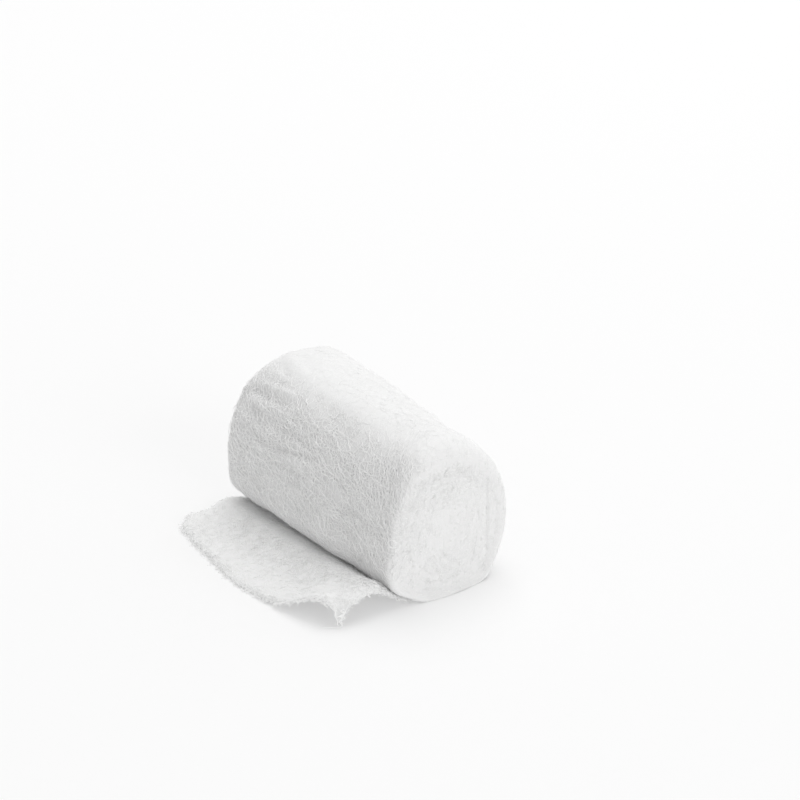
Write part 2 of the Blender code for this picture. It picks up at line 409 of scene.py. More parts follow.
    def fluff_share(self, bearing: Array) -> Array:
        """Finds how coarse the fluff is round the roll: most on the loose end's side, least on top."""
        turned = from_foot(bearing)
        side = ramp(turned, *self.fluffy_from) * (1.0 - ramp(turned, *self.fluffy_to))
        least, more_beside, more_away = self.fluff_shares
        return least + more_beside * side + more_away * ramp(turned, *self.away_to)

    def combing(self, bearing: Array, travel: Array) -> Array:
        """Finds which way the fluff is combed: 0 is round the roll, a quarter turn is along it."""
        arc = np.radians(bearing) * self.heart_height
        swirl = self.swirl * lumps_over(arc, travel, 0.0, self.swirl_size)
        return swirl - mix(*self.slants, ramp(travel, *self.slant_change))

    def drift(self, bearing: Array, travel: Array) -> Array:
        """Finds how thick the loose fluff lies: it gathers in drifts, with smooth cloth between them."""
        arc = np.radians(bearing) * self.heart_height
        lumps = lumps_over(arc, travel, self.drift_level, self.drift_size)
        share = self.drift_share + self.drift_swing * lumps
        for middle, along, radius, more in self.drift_rows:
            away = np.hypot(arc - math.radians(middle) * self.heart_height, travel - along)
            share = share + more * np.exp(-((away / radius) ** 2))
        return np.clip(share, self.drift_least, 1.0)

    def end_travel(self, bearing: Array, share: Array, end: End) -> Array:
        """Turns a share of the way from an end's core to its rim into travel over the skin."""
        facing = np.full_like(bearing, end.value)
        _, rim, _, straight, edge = self.rim_parts(bearing, facing)
        depth = np.linalg.norm(edge - self.core(bearing), axis=1)
        return facing * (straight + rim * QUARTER_TURN + depth * (1.0 - share))

    def rest_height(self, along: Array) -> Array:
        """Finds how low the skin may reach: onto the strip under it, and nearly to the floor before it."""
        return mix(self.underside, self.front_underside, smooth(self.strip_front - along))

    def point(self, bearing: Array, travel: Array, lift: Number = 0.0) -> Array:
        """Finds places on or above the skin.

        Args:
            bearing: degrees round the section from +X, over the top.
            travel: how far over the skin from the roll's middle, negative to the front, going round the
                rim and inwards over the end.
            lift: how far off the skin.

        Returns:
            The points on the roll's own lines, none lower than the strip that passes under the roll.
        """
        facing = np.where(travel < 0.0, -1.0, 1.0)
        direction, rim, _, straight, edge = self.rim_parts(bearing, facing)
        past = np.abs(travel) - straight
        turn = np.clip(past / rim, 0.0, QUARTER_TURN)
        inward = np.clip(past - rim * QUARTER_TURN, 0.0, None)
        along = np.where(past < 0.0, travel, facing * (straight + rim * np.sin(turn)))
        side = self.reach(bearing, along) - rim * (1.0 - np.cos(turn)) + lift * np.cos(turn)
        spot = np.array([0.0, self.heart_height]) + direction * side[:, None]
        core = self.core(bearing)
        share = np.clip(1.0 - inward / np.linalg.norm(edge - core, axis=1), 0.0, 1.0)
        on_end = inward > 0.0
        spot = np.where(on_end[:, None], core + (edge - core) * share[:, None], spot)
        relief = self.end_relief(bearing, share, spot, facing) * smooth((1.0 - share) / self.relief_fade)
        stand = self.half_length + np.where(facing < 0.0, self.foot_stand(bearing, share), 0.0) + relief
        along = np.where(on_end, facing * stand, along) + facing * lift * np.sin(turn)
        return np.stack([spot[:, 0], along, np.maximum(spot[:, 1], self.rest_height(along))], 1)


@dataclass(frozen=True)
class SheetForm:
    """The strip where it lies on the surface: under the roll, and out to its cut edge in a low wave."""
    near: float = -57.0
    far: float = 58.0
    under_reach: float = 19.0
    start: float = -14.0
    thickness: float = 1.3
    edge_thickness: float = 0.5
    edge_taper: float = 2.6
    edge_wander: float = 0.9
    edge_from: float = 0.88
    ragged_sizes: tuple[tuple[float, float], ...] = ((3.0, 3.1), (9.0, 1.3))
    front_part: Range = (-30.0, -57.0)
    lip: float = 3.0
    lip_half_width: float = 34.0
    lip_squareness: float = 1.5
    lip_to: float = 0.125
    unevenness: float = 0.35
    uneven_size: float = 9.0
    uneven_level: float = 5.0
    uneven_from: float = 0.25
    fold_rows: Rows = (
        # start along, hump out, hump rise, middle rise, edge out, edge along, edge rise
        (-57.0, -38.0, 9.6, 7.8, -53.2, -56.8, 1.4),
        (-52.0, -38.0, 11.0, 10.4, -54.0, -55.4, 7.0),
        (-45.0, -37.5, 10.4, 9.8, -55.9, -49.4, 9.8),
        (-36.0, -36.5, 8.6, 6.6, -60.6, -38.5, 5.6),
        (-24.0, -35.0, 6.4, 2.4, -64.4, -26.0, 1.0),
        (-5.0, -34.0, 4.6, 0.6, -66.5, -5.0, 0.0),
        (15.0, -34.0, 4.0, 0.4, -64.5, 15.0, 0.0),
        (35.0, -34.0, 3.6, 0.3, -61.5, 36.0, 0.0),
        (50.0, -33.0, 3.6, 0.5, -59.0, 50.0, 0.4),
        (58.0, -32.0, 4.2, 1.5, -52.0, 58.5, 1.5),
    )

    def folds(self, along: Array) -> Array:
        """Reads the folds' table at places along the roll's foot."""
        rows = np.array(self.fold_rows)
        places = np.interp(along, rows[:, 0], np.arange(len(rows)))
        return read_rows(rows[:, 1:], places, closed=False)

    def edge_fade(self, out: Array, along: Array) -> Array:
        """Finds how full the cloth is: 1 inside, 0 on the cut edge and on the selvedges."""
        length = self.start - self.folds(along)[:, 3]
        inside = np.minimum(along - self.near, self.far - along)
        inside = np.minimum(inside, (1.0 - out) * length)
        return np.sqrt(np.clip(inside / self.edge_taper, 0.0, 1.0))

    def point(self, out: Array, along: Array, layer: Number, lift: Number = 0.0) -> Array:
        """Finds places in the strip.

        Args:
            out: 0 at the roll's foot, 1 at the cut edge, and down to -1 at the far side under the roll.
            along: the place along the roll's foot.
            layer: 0 on the underside and 1 on the upper side.
            lift: how far above that.

        Returns:
            The points on the roll's own lines.
        """
        row = self.folds(along)
        hump_out, hump_rise, middle_rise, edge_out, edge_along, edge_rise = row.T
        hump = (hump_out - self.start) / (edge_out - self.start)
        middle = (hump + 1.0) / 2.0
        first = hump_rise * smooth(out / hump)
        second = mix(hump_rise, middle_rise, smooth((out - hump) / (middle - hump)))
        third = mix(middle_rise, edge_rise, smooth((out - middle) / (1.0 - middle)))
        rise = np.where(out < hump, first, np.where(out < middle, second, third))
        across = np.where(out > 0.0, mix(self.start, edge_out, out), mix(self.start, self.under_reach, -out))
        forth = np.clip(out, 0.0, 1.0)
        place = mix(along, edge_along, forth)
        ragged = sum(lumps_over(along, 0.0, level, size) for level, size in self.ragged_sizes)
        across = across - self.edge_wander * ragged * ramp(out, self.edge_from, 1.0)
        bulge = np.clip(1.0 - (across / self.lip_half_width) ** 2, 0.0, 1.0) ** self.lip_squareness
        bulge = bulge * ramp(along, *self.front_part) * smooth(1.0 - forth / self.lip_to)
        place = place - self.lip * bulge
        uneven = lumps_over(across, place, self.uneven_level, self.uneven_size) * self.unevenness
        full = mix(self.edge_thickness, self.thickness, self.edge_fade(out, along))
        height = np.maximum(rise + uneven * smooth(out / self.uneven_from), 0.0) + layer * full + lift
        return np.stack([across, place, height], 1)


class Paint:
    """A material's nodes."""

    def __init__(self, name: str) -> None:
        """Starts a material with its Principled shader."""
        self.material = bpy.data.materials.new(name)
        self.material.use_nodes = True
        self.tree = self.material.node_tree
        self.shader = self.tree.nodes["Principled BSDF"]

    def node(self, kind: str, settings: dict[str, object], inputs: dict[Union[int, str], object],
             output: Union[int, str] = 0) -> Socket:
        """Adds a node.

        Args:
            kind: the node's type.
            settings: what is set on the node itself, before its sockets.
            inputs: a value or another node's socket for each named or numbered socket.
            output: the socket that is handed on.

        Returns:
            That socket.
        """
        made = self.tree.nodes.new(kind)
        for key, value in settings.items():
            setattr(made, key, value)
        for key, value in inputs.items():
            self.plug(made.inputs[key], value)
        return made.outputs[output]

    def plug(self, socket: Socket, value: object) -> None:
        """Sets a socket to a value, or links another socket to it."""
        if isinstance(value, Socket):
            self.tree.links.new(value, socket)
        else:
            socket.default_value = value

    def weigh(self, start: float, *parts: tuple[float, Socket]) -> Socket:
        """Adds sockets up by their weights, from a start value."""
        total = start
        for weight, part in parts:
            inputs = {0: part, 1: weight, 2: total}
            total = self.node("ShaderNodeMath", {"operation": "MULTIPLY_ADD"}, inputs)
        return total

    def place(self) -> Socket:
        """Gives the place on the piece, in metres."""
        return self.node("ShaderNodeTexCoord", {}, {}, "Object")

    def grain(self, place: Socket, size: float, detail: float = 2.0, roughness: float = 0.5) -> Socket:
        """Gives soft noise from 0 to 1 whose grains have the given size in millimetres."""
        inputs = {"Vector": place, "Scale": 1.0 / (size * MM), "Detail": detail, "Roughness": roughness}
        return self.node("ShaderNodeTexNoise", {}, inputs, "Fac")

    def blend(self, share: Socket, first: object, second: object) -> Socket:
        """Mixes two colours."""
        return self.node("ShaderNodeMix", {"data_type": "RGBA"}, {0: share, 6: first, 7: second}, 2)


@dataclass(frozen=True)
class CottonFinish:
    """Fluffed white cotton: matt, softly lit through, uneven in whiteness and in nap."""
    name: str
    colour: tuple[float, float, float]
    shade: tuple[float, float, float]
    soft: float = 0.0
    nap_size: float = 1.1
    nap_depth: float = 0.35
    # painted shade: how dark the cloth is made on the roll's left side, away from the light, and where that
    # side lies
    side_shade_tone: float = 1.0
    side_shade_across: Range = (-8.0, 12.0)
    side_shade_along: Range = (-55.0, -52.5)
    fibre_size: float = 0.35
    cloud_size: float = 9.0
    nap_wear: float = 0.9
    cloud_wear: float = 0.4
    fibre_wear: float = 0.5
    unworn: float = 0.4
    nap_bump: float = 0.65
    bump_strength: float = 0.8
    roughness: float = 0.9
    nap_gloss: float = 0.12
    specular: float = 0.25
    sheen: float = 0.25
    sheen_roughness: float = 0.5
    soft_depth: float = 1.2

    def fade(self, paint: Paint, place: Socket, axis: str, ends: Range, last: float) -> Socket:
        """Eases from the other value to the last one, 0 or 1, between two places on an axis."""
        inputs = {"Value": paint.node("ShaderNodeSeparateXYZ", {}, {0: place}, axis), "To Min": 1.0 - last,
                  "From Min": ends[0] * MM, "From Max": ends[1] * MM, "To Max": last}
        return paint.node("ShaderNodeMapRange", {"interpolation_type": "SMOOTHSTEP"}, inputs)

    def tone(self, paint: Paint, place: Socket) -> Socket:
        """Finds the painted shade on the roll's left side, which faces away from the light: the cloth there
        is darkened in colour so that its loose fluff stands out brighter.
        """
        side = self.fade(paint, place, "X", self.side_shade_across, 0.0)
        behind = self.fade(paint, place, "Y", self.side_shade_along, 1.0)
        both = paint.node("ShaderNodeMath", {"operation": "MULTIPLY"}, {0: side, 1: behind})
        return paint.weigh(1.0, (self.side_shade_tone - 1.0, both))

    def make(self) -> bpy.types.Material:
        """Builds the material."""
        paint = Paint(self.name)
        place = paint.place()
        nap = paint.grain(place, self.nap_size, detail=3.0, roughness=0.6)
        fibre = paint.grain(place, self.fibre_size)
        cloud = paint.grain(place, self.cloud_size)
        worn = paint.weigh(-self.unworn, (self.nap_wear, nap), (self.cloud_wear, cloud),
                           (self.fibre_wear, fibre))
        tint = paint.blend(worn, (*self.shade, 1.0), (*self.colour, 1.0))
        # painted shade: darkens the cloth's colour on the roll's left side, away from the light
        if self.side_shade_tone < 1.0:
            tint = paint.blend(self.tone(paint, place), BLACK, tint)
        height = paint.weigh(0.0, (self.nap_bump, nap), (1.0 - self.nap_bump, fibre))
        bump = paint.node("ShaderNodeBump", {}, {"Strength": self.bump_strength,
                                                 "Distance": self.nap_depth * MM, "Height": height})
        roughness = paint.weigh(self.roughness, (-self.nap_gloss, nap))
        for socket, value in (("Base Color", tint), ("Roughness", roughness), ("Normal", bump),
                              ("Specular IOR Level", self.specular),
                              ("Sheen Weight", self.sheen), ("Sheen Roughness", self.sheen_roughness),
                              ("Subsurface Weight", self.soft), ("Subsurface Radius", (1.0, 1.0, 1.0)),
                              ("Subsurface Scale", self.soft_depth * MM)):
            paint.plug(paint.shader.inputs[socket], value)
        return paint.material


def finish_piece(piece: bpy.types.Object, node: str, material: bpy.types.Material) -> None:
    """Gives a piece its finish and its body, hides the solid that it stands for, and reports it."""
    piece.data.materials.clear()
    piece.data.materials.append(material)
    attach(piece, "root")
    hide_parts(node)
    piece.data.calc_loop_triangles()
    LOG.info("%s: %d triangles", piece.name, len(piece.data.loop_triangles))


def mesh_piece(name: str, builder: bmesh.types.BMesh, points: Array) -> bpy.types.Object:
    """Makes an object of a bmesh whose points are moved to the given places, on the roll's own lines.

    Args:
        name: the piece's name.
        builder: the bmesh, which is freed.
        points: a place in millimetres for each of its points.

    Returns:
        The object, shaded smooth, with its faces outwards.
    """
    mesh = bpy.data.meshes.new(name)
    builder.to_mesh(mesh)
    builder.free()
    mesh.vertices.foreach_set("co", ((points - ORIGIN) * MM).ravel())
    again = bmesh.new()
    again.from_mesh(mesh)
    bmesh.ops.recalc_face_normals(again, faces=again.faces)
    again.to_mesh(mesh)
    again.free()
    mesh.shade_smooth()
    return add_object(name, mesh)


@dataclass(frozen=True)
class Curl:
    """How a loose yarn or fibre wanders: its length, its crimp and its bend, in millimetres."""
    shortest: float
    longest: float
    step: float
    crimp_length: float
    crimp_height: float
    bend: float

    def trace(self, rng: Random, heading: float) -> Array:
        """Draws one on the flat.

        Args:
            rng: the source of random numbers.
            heading: the angle that it starts out at.

        Returns:
            Its points from where it starts, two numbers each.
        """
        count = max(FEWEST_IN_CURL, int(rng.uniform(self.shortest, self.longest) / self.step) + 1)
        run = np.arange(count) * self.step
        crimp = FULL_TURN * self.crimp_height / self.crimp_length * rng.uniform(*CRIMP_STRENGTH)
        wave = np.sin(FULL_TURN * (run / (self.crimp_length * rng.uniform(*CRIMP_STRETCH)) + rng.random()))
        angle = heading + rng.normal(0.0, self.bend) * run + crimp * wave
        return np.stack([np.cumsum(np.cos(angle)), np.cumsum(np.sin(angle))], 1) * self.step


@dataclass
class Threads:
    """Paths of thread or fibre that become one mesh of thin three-sided tubes."""
    name: str
    paths: list[Array] = field(default_factory=list)
    thicknesses: list[Array] = field(default_factory=list)

    def add(self, path: Array, thickness: Number, taper: float = 0.0) -> None:
        """Adds a path.

        Args:
            path: its points in millimetres.
            thickness: its diameter in millimetres.
            taper: the share of its thickness that is lost at its tips.
        """
        ends = arch(len(path)) ** 0.5
        self.paths.append(path)
        self.thicknesses.append(thickness * (1.0 - taper * (1.0 - ends)))

    def build(self) -> bpy.types.Object:
        """Sweeps a small triangle along the paths, and makes a mesh of what comes out."""
        profile_curve = bpy.data.curves.new(self.name + "_profile", "CURVE")
        corner = profile_curve.splines.new("POLY")
        corner.points.add(2)
        for index, point in enumerate(corner.points):
            angle = -FULL_TURN * index / 3.0
            point.co = (0.5 * MM * math.cos(angle), 0.5 * MM * math.sin(angle), 0.0, 1.0)
        corner.use_cyclic_u = True
        profile = add_object(self.name + "_profile", profile_curve)
        curve = bpy.data.curves.new(self.name, "CURVE")
        curve.dimensions = "3D"
        curve.bevel_mode = "OBJECT"
        curve.bevel_object = profile
        curve.use_fill_caps = True
        for path, thickness in zip(self.paths, self.thicknesses):
            spline = curve.splines.new("POLY")
            spline.points.add(len(path) - 1)
            places = np.ones((len(path), 4))
            places[:, :3] = (path - ORIGIN) * MM
            spline.points.foreach_set("co", places.ravel())
            spline.points.foreach_set("radius", np.broadcast_to(thickness, len(path)).astype(float))
        source = add_object(self.name + "_paths", curve)
        depsgraph = bpy.context.evaluated_depsgraph_get()
        mesh = bpy.data.meshes.new_from_object(source.evaluated_get(depsgraph))
        mesh.name = self.name
        welded = bmesh.new()
        welded.from_mesh(mesh)
        bmesh.ops.remove_doubles(welded, verts=welded.verts, dist=WELD_DISTANCE)
        welded.to_mesh(mesh)
        welded.free()
        mesh.shade_flat()
        for used in (source, profile):
            bpy.data.objects.remove(used, do_unlink=True)
        return add_object(self.name, mesh)


def lay(name: str, place: Callable[..., Array], routes: list[tuple],
        taper: float = 0.0) -> bpy.types.Object:
    """Lays threads on a form.

    Args:
        name: the piece's name.
        place: turns the routes' joined columns into points.
        routes: for each thread its columns of values, and last its thickness.
        taper: the share of the thickness that is lost at the tips.

    Returns:
        The threads as one piece.
    """
    threads = Threads(name)
    columns = [np.concatenate(column) for column in list(zip(*routes))[:-1]]
    splits = np.cumsum([len(route[0]) for route in routes])[:-1]
    for path, route in zip(np.split(place(*columns), splits), routes):
        threads.add(path, route[-1], taper)
    return threads.build()


@dataclass
class WoundRoll:
    """The wound bandage: its cloth skin, the outer wrap's yarns, the turns of its ends and its fuzz."""
    form: RollForm
    cloth: bpy.types.Material
    yarn: bpy.types.Material
    fluff: bpy.types.Material
    around: int = 260
    rings: tuple[int, int, int, int, int] = (50, 10, 120, 10, 32)
    crinkle: float = 0.08
    crinkle_sizes: Range = (3.2, 1.7)
    rim_reach: float = 5.0
    foot: Range = (-58.0, 238.0)
    warp_seed: int = 11
    warp_pitch: float = 2.6
    warp_step: float = 1.75
    warp_reach: float = 1.0
    warp_stray: float = 0.3
    warp_wander: Waves = ((0.45, 4.0, 3), (0.9, 30.0, 2))
    warp_rise: Waves = ((0.13, 3.4, 3),)
    weft_seed: int = 12
    weft_pitch: float = 7.0
    weft_step: float = 0.9
    weft_stray: float = 1.0
    weft_wander: Waves = ((1.1, 4.6, 3), (2.4, 34.0, 2))
    weft_rise: Waves = ((0.13, 3.6, 3),)
    yarn_shares: Range = (0.5, 0.9)
    yarn_lift: float = 0.12
    yarn_lifts: Range = (-0.05, 0.6)
    last_travel: float = 59.5
    strewn_shares: Range = (0.36, 1.12)
    strewn_lift: float = 0.08
    strewn_rise: Waves = ((0.08, 2.2, 2),)
    strewn_hump: Range = (2.0, 0.17)
    strewn_taper: float = 0.6
    highest: float = 1.4
    strewn: tuple[tuple[str, int, int, Curl, float], ...] = (
        # name, seed, count, curl, how far the headings stray from the combing
        ("combed_yarns", 13, 2000, Curl(5.0, 17.0, 0.7, 3.2, 0.19, 0.05), 0.24),
        ("tangled_yarns", 14, 1900, Curl(2.5, 7.0, 0.6, 2.6, 0.35, 0.2), 0.8),
    )
    ends: tuple[tuple[End, int, int, float], ...] = (
        # end, turns, tufts, how thick the turns' yarn is
        (End.FRONT, 12, 4200, 0.4),
        (End.BACK, 26, 2600, 0.8),
    )
    end_seed: int = 20
    first_turn: int = 2
    turn_degrees: Range = (90.0, 250.0)
    turn_steps: tuple[float, float, float] = (60.0, 4.0, 1.8)
    turn_part: Range = (0.02, 0.985)
    turn_lifts: Range = (-0.2, 0.2)
    turn_taper: float = 0.5
    turn_wander: Waves = ((0.008, 8.0, 3), (0.007, 2.8, 3))
    turn_rise: Waves = ((0.08, 7.0, 3),)
    turn_shares: Range = (0.75, 1.25)
    tuft_part: float = 0.99
    tuft_lift: float = 0.04
    tuft_rise: Range = (0.03, 0.2)
    tuft_from: float = 0.1
    tuft_to: Range = (0.6, 1.0)
    tuft_shares: Range = (0.3, 0.65)
    tuft_taper: float = 0.6
    fuzz_seed: int = 31
    fuzz_count: int = 4600
    fuzz_reach: float = 8.0
    fuzz_lift: float = 0.1
    fuzz_hump: Range = (2.0, 0.17)
    fuzz_bow: Range = (1.2, 2.8)
    fuzz_thickness: Range = (0.05, 0.1)
    fuzz_taper: float = 0.5
    tuft: Curl = Curl(0.8, 2.0, 0.38, 2.0, 0.22, 0.8)
    fuzz: Curl = Curl(1.2, 4.4, 0.8, 6.0, 0.3, 0.25)

    def travel_at(self, bearing: Array, ring: float) -> Array:
        """Finds how far over the skin a ring is, counted from the front end's core."""
        _, front_rim, _, front_straight, _ = self.form.rim_parts(bearing, np.full_like(bearing, -1.0))
        _, back_rim, _, back_straight, _ = self.form.rim_parts(bearing, np.full_like(bearing, 1.0))
        core = np.zeros_like(bearing)
        stations = (self.form.end_travel(bearing, core, End.FRONT),
                    -front_straight - front_rim * QUARTER_TURN, -front_straight,
                    back_straight, back_straight + back_rim * QUARTER_TURN,
                    self.form.end_travel(bearing, core, End.BACK))
        for start, end, count in zip(stations, stations[1:], self.rings):
            if ring <= count:
                return mix(start, end, ring / count)
            ring -= count
        return end

    def make_cloth(self) -> bpy.types.Object:
        """Shapes a ball's rings into the roll's closed skin, with the crinkle of fluffed gauze."""
        last = sum(self.rings)
        builder = bmesh.new()
        bmesh.ops.create_uvsphere(builder, u_segments=self.around, v_segments=last, radius=1.0)
        ball = np.array([vertex.co for vertex in builder.verts])
        number = np.rint(np.arccos(np.clip(ball[:, 2], -1.0, 1.0)) / math.pi * last).astype(int)
        bearing = np.degrees(np.arctan2(ball[:, 1], ball[:, 0]))
        points = np.zeros_like(ball)
        for ring in range(1, last):
            angle = bearing[number == ring]
            points[number == ring] = self.form.point(angle, self.travel_at(angle, ring))
        for pole, facing in ((0, -1.0), (last, 1.0)):
            middle = (self.form.core_across, facing * self.form.half_length, self.form.core_height)
            points[number == pole] = middle
        return mesh_piece("roll_cloth", builder, self.crinkled(points))

    def crinkled(self, points: Array) -> Array:
        """Pushes the skin's points in and out by the crinkle's soft grains."""
        heart = np.array([self.form.core_across, 0.0, self.form.heart_height])
        away = points - heart
        away[:, 1] = 0.0
        away /= np.maximum(np.linalg.norm(away, axis=1), 1.0)[:, None]
        end = self.form.half_length
        near_end = ramp(np.abs(points[:, 1]), end - self.rim_reach, end)[:, None]
        facing = np.sign(points[:, 1])[:, None] * np.array([0.0, 1.0, 0.0])
        way = away * (1.0 - near_end) + facing * near_end
        moved = points + way * self.crinkle * crinkle_at(points, *self.crinkle_sizes)[:, None]
        moved[:, 2] = np.maximum(moved[:, 2], self.form.rest_height(moved[:, 1]))
        return moved

    def rise(self, places: Array, rows: Waves, coarse: Array,
             rng: Random) -> Array:
        """Finds how far a warp or weft yarn lifts off the skin: more where the fluff is coarse."""
        return np.clip(self.yarn_lift + wander(places, rows, rng), *self.yarn_lifts) * coarse

    def make_warp(self) -> bpy.types.Object:
        """Lays the crinkled yarns that run round the roll."""
        rng = np.random.default_rng(self.warp_seed)
        bearing = np.arange(*self.foot, self.warp_step)
        arc = np.radians(bearing) * self.form.heart_height
        coarse = self.form.fluff_share(bearing)
        last = self.form.half_length + self.warp_reach
        routes = []
        for start in np.arange(-last, last, self.warp_pitch):
            travel = start + rng.normal(0.0, self.warp_stray) + wander(arc, self.warp_wander, rng)
            lift = self.rise(arc, self.warp_rise, coarse, rng)
            routes.append((bearing, travel, lift, yarn_thickness(rng, self.yarn_shares, coarse)))
        return lay("warp_yarns", self.form.point, routes)

    def make_weft(self) -> bpy.types.Object:
        """Lays the wavy yarns that run from end to end and turn in over the rims."""
        rng = np.random.default_rng(self.weft_seed)
        last = self.form.half_length + self.rim_reach
        travel = np.arange(-last, last, self.weft_step)
        routes = []
        for start in np.arange(*self.foot, self.weft_pitch):
            way = wander(travel, self.weft_wander, rng)
            bearing = start + rng.normal(0.0, self.weft_stray) + way
            coarse = self.form.fluff_share(bearing)
            lift = self.rise(travel, self.weft_rise, coarse, rng)
            routes.append((bearing, travel, lift, yarn_thickness(rng, self.yarn_shares, coarse)))
        return lay("weft_yarns", self.form.point, routes)

    def make_strewn(self, name: str, seed: int, count: int, curl: Curl, stray: float) -> bpy.types.Object:
        """Strews fluffed yarn pieces over the side, more of them where the fluff is coarse.

        Args:
            name: the piece's name.
            seed: what its random numbers start from.
            count: how many pieces of yarn there are.
            curl: how each of them wanders.
            stray: how far their headings stray from the way the side is combed.

        Returns:
            The yarns as one piece.
        """
        rng = np.random.default_rng(seed)
        bearings = rng.uniform(*self.foot, PLACES_PER_THREAD * count)
        travels = rng.uniform(-self.last_travel, self.last_travel, PLACES_PER_THREAD * count)
        likely = self.form.fluff_share(bearings) * self.form.drift(bearings, travels)
        chosen = likeliest(rng, likely, count)
        bearings, travels = bearings[chosen], travels[chosen]
        headings = self.form.combing(bearings, travels) + rng.normal(0.0, stray, count)
        routes = []
        for first, start, heading in zip(bearings, travels, headings):
            trace = curl.trace(rng, heading + math.pi * rng.integers(0, 2))
            inside = np.abs(start + trace[:, 1]) < self.last_travel
            trace = trace if inside.all() else trace[:int(np.argmin(inside))]
            if len(trace) < FEWEST_POINTS:
                continue
            bearing = first + np.degrees(trace[:, 0] / self.form.heart_height)
            coarse = self.form.fluff_share(bearing)
            lift = self.strewn_lift + rng.gamma(*self.strewn_hump) * arch(len(trace))
            lift = np.clip(lift + wander(trace[:, 0] + trace[:, 1], self.strewn_rise, rng), 0.0, self.highest)
            thickness = yarn_thickness(rng, self.strewn_shares, coarse)
            routes.append((bearing, start + trace[:, 1], lift * coarse, thickness))
        return lay(name, self.form.point, routes, self.strewn_taper)

    def make_end(self, end: End, turns: int, tufts: int, thickness: float) -> bpy.types.Object:
        """Winds broken turns of the selvedge on an end and strews its fluff.

        Args:
            end: which end.
            turns: how many broken turns are laid on it.
            tufts: how many short curls stand on it.
            thickness: how thick the turns' yarn is, as a share of the side's.

        Returns:
            The end's threads as one piece.
        """
        rng = np.random.default_rng(self.end_seed + int(end.value))
        threads = Threads(end.name.lower() + "_end_turns")
        widest, more, least = self.turn_steps
        for turn in range(self.first_turn, turns):
            outer = turn / turns
            step = max(least, widest / (turn + more))
            bearing = rng.uniform(0.0, 360.0) + np.arange(0.0, rng.uniform(*self.turn_degrees), step)
            arc = np.radians(bearing) * outer * self.form.heart_height
            share = outer + (bearing - bearing[0]) / 360.0 / turns
            share = np.clip(share + wander(arc, self.turn_wander, rng), *self.turn_part)
            lift = np.clip(wander(arc, self.turn_rise, rng), *self.turn_lifts)
            path = self.form.point(bearing, self.form.end_travel(bearing, share, end), lift)
            threads.add(path, thickness * yarn_thickness(rng, self.turn_shares), self.turn_taper)
        self.strew(threads, rng, end, tufts)
        return threads.build()

    def strew(self, threads: Threads, rng: Random, end: End, count: int) -> None:
        """Adds short curls all over an end's face."""
        share = np.sqrt(rng.random(count)) * self.tuft_part
        bearing = rng.uniform(0.0, 360.0, count)
        starts = self.form.point(bearing, self.form.end_travel(bearing, share, end), self.tuft_lift)
        for start in starts:
            trace = self.tuft.trace(rng, rng.uniform(0.0, FULL_TURN))
            rise = rng.uniform(*self.tuft_rise)
            rise = rise * arch(len(trace), self.tuft_from, math.pi * rng.uniform(*self.tuft_to))
            path = start + np.stack([trace[:, 0], end.value * rise, trace[:, 1]], 1)
            path[:, 2] = np.maximum(path[:, 2], self.form.rest_height(path[:, 1]))
            threads.add(path, yarn_thickness(rng, self.tuft_shares), self.tuft_taper)

    def make_fuzz(self) -> bpy.types.Object:
        """Raises fine fibres all over the roll."""
        rng = np.random.default_rng(self.fuzz_seed)
        last = self.form.half_length + self.fuzz_reach
        routes = []
        for _ in range(self.fuzz_count):
            bearing, travel = rng.uniform(*self.foot), rng.uniform(-last, last)
            trace = self.fuzz.trace(rng, rng.uniform(0.0, FULL_TURN))
            bearing = bearing + np.degrees(trace[:, 0] / self.form.heart_height)
            bow = arch(len(trace), 0.0, rng.uniform(*self.fuzz_bow))
            lift = self.fuzz_lift + rng.gamma(*self.fuzz_hump) * bow
            routes.append((bearing, travel + trace[:, 1], lift, rng.uniform(*self.fuzz_thickness)))
        return lay("roll_fuzz", self.form.point, routes, self.fuzz_taper)

    def dress(self) -> None:
        """Builds every piece of the roll."""
        finish_piece(self.make_cloth(), "roll", self.cloth)
        yarns = [self.make_warp(), self.make_weft()]
        yarns += [self.make_strewn(*row) for row in self.strewn]
        yarns += [self.make_end(*row) for row in self.ends]
        for piece in yarns:
            finish_piece(piece, "roll", self.yarn)
        finish_piece(self.make_fuzz(), "roll", self.fluff)


